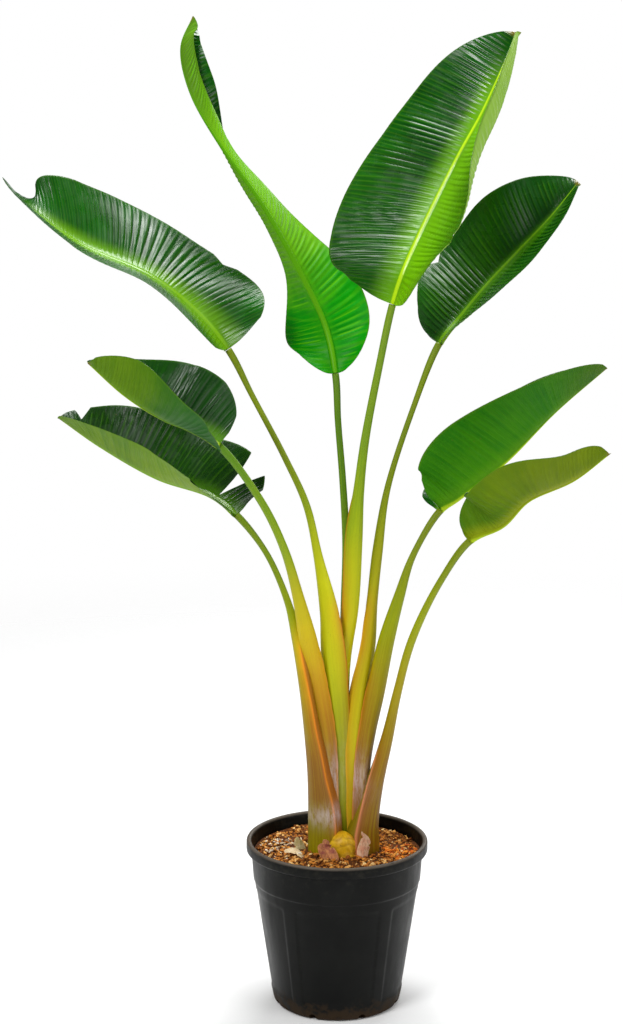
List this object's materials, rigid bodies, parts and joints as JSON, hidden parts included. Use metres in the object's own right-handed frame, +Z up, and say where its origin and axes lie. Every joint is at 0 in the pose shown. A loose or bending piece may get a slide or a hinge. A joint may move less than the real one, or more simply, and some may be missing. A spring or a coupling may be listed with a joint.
{
  "type": "potted bird of paradise plant",
  "caption": "Tall bird of paradise with paddle leaves on long sheathed stalks, growing from bark potting mix in a round plastic nursery pot with a rolled rim.",
  "frame": {"origin": "centre of the pot's base, on the surface it stands on", "axes": "+Z up the pot's axis; +X to the plant's right and -Y towards its front, with the fan of stalks spread along X"},
  "size_m": [0.8718, 0.3993, 1.4519],
  "materials": {
    "pot_plastic": "dusty black moulded plastic, satin",
    "potting_mix": "loose bark chips and grit",
    "rootstock": "yellow-olive living crown",
    "stalk": "smooth green stalk turning yellow and purple-brown at the sheath",
    "blade": "glossy above, matt and paler below",
    "dry_sheath": "dry papery husk"
  },
  "bodies": {
    "root": {"nursery_pot": "pot_plastic", "potting_mix": "potting_mix", "rootstock": "rootstock", "stalk_twisted": "stalk", "stalk_broad": "stalk", "stalk_upper_right": "stalk", "stalk_upper_left": "stalk", "stalk_middle_right": "stalk", "stalk_middle_left": "stalk", "stalk_lower_right": "stalk", "stalk_lower_left": "stalk", "blade_twisted": "blade", "blade_broad": "blade", "blade_upper_right": "blade", "blade_upper_left": "blade", "blade_middle_right": "blade", "blade_middle_left": "blade", "blade_lower_right": "blade", "blade_lower_left": "blade", "dry_sheath_front": "dry_sheath", "dry_sheath_right": "dry_sheath", "dry_sheath_left": "dry_sheath", "dry_sheath_back_left": "dry_sheath"}
  },
  "joints": []
}
